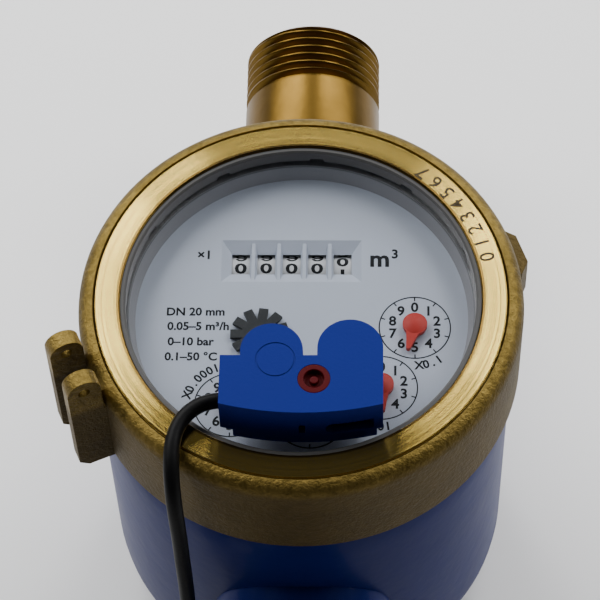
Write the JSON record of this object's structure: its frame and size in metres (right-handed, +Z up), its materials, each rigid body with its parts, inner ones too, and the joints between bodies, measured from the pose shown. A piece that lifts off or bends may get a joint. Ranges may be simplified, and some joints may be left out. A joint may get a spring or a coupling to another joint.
{
  "type": "water meter",
  "caption": "Multi-jet dry-dial water meter: blue cast body with threaded pipe ends, brass head ring, roller counter, red pointers and a cabled pulse unit on the window.",
  "frame": {"origin": "centre of the flat foot, under the register axis", "axes": "+Z up along the register axis, +Y along the pipe in the direction of flow, dial read from -Y"},
  "size_m": [0.118, 0.22, 0.113],
  "materials": {
    "blue_paint": "gloss paint over cast brass, pipe ends bare brass",
    "brass": "machined face, sand-cast outside",
    "white_plastic": "moulded",
    "gear_plastic": "moulded acetal",
    "grey_plastic": "moulded",
    "dark_plastic": "moulded",
    "red_plastic": "moulded",
    "blue_plastic": "moulded",
    "rubber": "moulded",
    "magnet": "sintered ferrite",
    "steel": "drawn",
    "window": "polished",
    "switch_glass": "drawn glass tube",
    "cable": "extruded sheath"
  },
  "bodies": {
    "meter": {"body_casting": "blue_paint", "inlet_strainer": "white_plastic", "chamber_gasket": "rubber", "measuring_chamber": "white_plastic", "chamber_cover": "white_plastic", "pivot_pin": "steel", "separator_seal": "rubber", "separator_plate": "grey_plastic", "register_cup": "white_plastic", "lower_gear_plate": "gear_plastic", "plate_pillars": "brass", "upper_gear_plate": "gear_plastic", "counter_frame": "steel", "roller_shaft": "steel", "carry_shaft": "steel", "dial_plate": "white_plastic", "register_rim": "grey_plastic", "window": "window", "glazing_ring": "grey_plastic", "head_ring": "brass", "pulse_base": "blue_plastic", "pulse_housing": "blue_plastic", "reed_switch": "switch_glass", "fixing_screw": "steel", "seal_plug": "red_plastic", "cable": "cable", "cable_coil": "cable", "cable_leads": "steel"},
    "impeller": {"impeller": "white_plastic", "impeller_bush": "dark_plastic", "drive_magnet": "magnet"},
    "magnet_pinion": {"driven_magnet": "magnet", "magnet_pinion": "gear_plastic"},
    "star": {"star_arbor": "gear_plastic", "star_wheel": "dark_plastic"},
    "first_gear": {"first_gear": "gear_plastic"},
    "hand_1": {"pointer_arbor_1": "gear_plastic", "pointer_1": "red_plastic", "pulse_magnet": "magnet"},
    "hand_2": {"pointer_arbor_2": "gear_plastic", "pointer_2": "red_plastic"},
    "hand_3": {"pointer_arbor_3": "gear_plastic", "pointer_3": "red_plastic"},
    "hand_4": {"pointer_arbor_4": "gear_plastic", "pointer_4": "red_plastic"},
    "step_gear_1": {"step_gear_1": "gear_plastic"},
    "step_gear_2": {"step_gear_2": "gear_plastic"},
    "step_gear_3": {"step_gear_3": "gear_plastic"},
    "counter_idler": {"counter_idler": "gear_plastic"},
    "counter_worm": {"counter_worm": "gear_plastic"},
    "roller_1": {"roller_1": "white_plastic"},
    "roller_2": {"roller_2": "white_plastic"},
    "roller_3": {"roller_3": "white_plastic"},
    "roller_4": {"roller_4": "white_plastic"},
    "roller_5": {"roller_5": "white_plastic"},
    "carry_pinion_1": {"carry_pinion_1": "gear_plastic"},
    "carry_pinion_2": {"carry_pinion_2": "gear_plastic"},
    "carry_pinion_3": {"carry_pinion_3": "gear_plastic"},
    "carry_pinion_4": {"carry_pinion_4": "gear_plastic"}
  },
  "joints": [
    {"name": "impeller_spin", "type": "hinge", "parent": "meter", "child": "impeller", "pos_m": [0, 0, 0.04], "axis": [0, 0, 1], "continuous": true},
    {"name": "magnet_spin", "type": "hinge", "parent": "meter", "child": "magnet_pinion", "pos_m": [0, 0, 0.078], "axis": [0, 0, 1], "continuous": true},
    {"name": "star_spin", "type": "hinge", "parent": "meter", "child": "star", "pos_m": [-0.00881, -0.00474, 0.085], "axis": [0, 0, 1], "continuous": true},
    {"name": "first_gear_spin", "type": "hinge", "parent": "meter", "child": "first_gear", "pos_m": [-0.01274, -0.01325, 0.085], "axis": [0, 0, 1], "continuous": true},
    {"name": "hand_1_spin", "type": "hinge", "parent": "meter", "child": "hand_1", "pos_m": [-0.01448, -0.02147, 0.085], "axis": [0, 0, 1], "continuous": true},
    {"name": "step_gear_1_spin", "type": "hinge", "parent": "meter", "child": "step_gear_1", "pos_m": [-0.00609, -0.02178, 0.085], "axis": [0, 0, 1], "continuous": true},
    {"name": "hand_2_spin", "type": "hinge", "parent": "meter", "child": "hand_2", "pos_m": [0.00219, -0.0241, 0.085], "axis": [0, 0, 1], "continuous": true},
    {"name": "step_gear_2_spin", "type": "hinge", "parent": "meter", "child": "step_gear_2", "pos_m": [0.00849, -0.01854, 0.085], "axis": [0, 0, 1], "continuous": true},
    {"name": "hand_3_spin", "type": "hinge", "parent": "meter", "child": "hand_3", "pos_m": [0.01699, -0.01723, 0.085], "axis": [0, 0, 1], "continuous": true},
    {"name": "step_gear_3_spin", "type": "hinge", "parent": "meter", "child": "step_gear_3", "pos_m": [0.01833, -0.00894, 0.085], "axis": [0, 0, 1], "continuous": true},
    {"name": "hand_4_spin", "type": "hinge", "parent": "meter", "child": "hand_4", "pos_m": [0.02407, -0.00253, 0.085], "axis": [0, 0, 1], "continuous": true},
    {"name": "counter_idler_spin", "type": "hinge", "parent": "meter", "child": "counter_idler", "pos_m": [0.0209, 0.00505, 0.085], "axis": [0, 0, 1], "continuous": true},
    {"name": "counter_worm_spin", "type": "hinge", "parent": "meter", "child": "counter_worm", "pos_m": [0.0134, 0.0084, 0.085], "axis": [0, 0, 1], "continuous": true},
    {"name": "roller_1_spin", "type": "hinge", "parent": "meter", "child": "roller_1", "pos_m": [0.0086, 0.0142, 0.0882], "axis": [1, 0, 0], "continuous": true},
    {"name": "roller_2_spin", "type": "hinge", "parent": "meter", "child": "roller_2", "pos_m": [0.0031, 0.0142, 0.0882], "axis": [1, 0, 0], "continuous": true},
    {"name": "roller_3_spin", "type": "hinge", "parent": "meter", "child": "roller_3", "pos_m": [-0.0024, 0.0142, 0.0882], "axis": [1, 0, 0], "continuous": true},
    {"name": "roller_4_spin", "type": "hinge", "parent": "meter", "child": "roller_4", "pos_m": [-0.0079, 0.0142, 0.0882], "axis": [1, 0, 0], "continuous": true},
    {"name": "roller_5_spin", "type": "hinge", "parent": "meter", "child": "roller_5", "pos_m": [-0.0134, 0.0142, 0.0882], "axis": [1, 0, 0], "continuous": true},
    {"name": "carry_pinion_1_spin", "type": "hinge", "parent": "meter", "child": "carry_pinion_1", "pos_m": [0.00585, 0.0205, 0.0882], "axis": [1, 0, 0], "continuous": true},
    {"name": "carry_pinion_2_spin", "type": "hinge", "parent": "meter", "child": "carry_pinion_2", "pos_m": [0.00035, 0.0205, 0.0882], "axis": [1, 0, 0], "continuous": true},
    {"name": "carry_pinion_3_spin", "type": "hinge", "parent": "meter", "child": "carry_pinion_3", "pos_m": [-0.00515, 0.0205, 0.0882], "axis": [1, 0, 0], "continuous": true},
    {"name": "carry_pinion_4_spin", "type": "hinge", "parent": "meter", "child": "carry_pinion_4", "pos_m": [-0.01065, 0.0205, 0.0882], "axis": [1, 0, 0], "continuous": true}
  ],
  "couplings": [
    {"joint": "magnet_spin", "follows": "impeller_spin", "ratio": 1},
    {"joint": "star_spin", "follows": "impeller_spin", "ratio": -0.25},
    {"joint": "first_gear_spin", "follows": "impeller_spin", "ratio": 0.1},
    {"joint": "hand_1_spin", "follows": "impeller_spin", "ratio": -0.04},
    {"joint": "step_gear_1_spin", "follows": "impeller_spin", "ratio": 0.016},
    {"joint": "hand_2_spin", "follows": "impeller_spin", "ratio": -0.004},
    {"joint": "step_gear_2_spin", "follows": "impeller_spin", "ratio": 0.0016},
    {"joint": "hand_3_spin", "follows": "impeller_spin", "ratio": -0.0004},
    {"joint": "step_gear_3_spin", "follows": "impeller_spin", "ratio": 0.00016},
    {"joint": "hand_4_spin", "follows": "impeller_spin", "ratio": -0.00004},
    {"joint": "counter_idler_spin", "follows": "impeller_spin", "ratio": 0.000042667},
    {"joint": "counter_worm_spin", "follows": "impeller_spin", "ratio": -0.00004},
    {"joint": "roller_1_spin", "follows": "impeller_spin", "ratio": -0.000004},
    {"joint": "roller_2_spin", "follows": "impeller_spin", "ratio": -0.0000004},
    {"joint": "roller_3_spin", "follows": "impeller_spin", "ratio": -0.00000004},
    {"joint": "roller_4_spin", "follows": "impeller_spin", "ratio": -0.000000004},
    {"joint": "roller_5_spin", "follows": "impeller_spin", "ratio": -0.0000000004},
    {"joint": "carry_pinion_1_spin", "follows": "impeller_spin", "ratio": 0.000001},
    {"joint": "carry_pinion_2_spin", "follows": "impeller_spin", "ratio": 0.0000001},
    {"joint": "carry_pinion_3_spin", "follows": "impeller_spin", "ratio": 0.00000001},
    {"joint": "carry_pinion_4_spin", "follows": "impeller_spin", "ratio": 0.000000001}
  ]
}
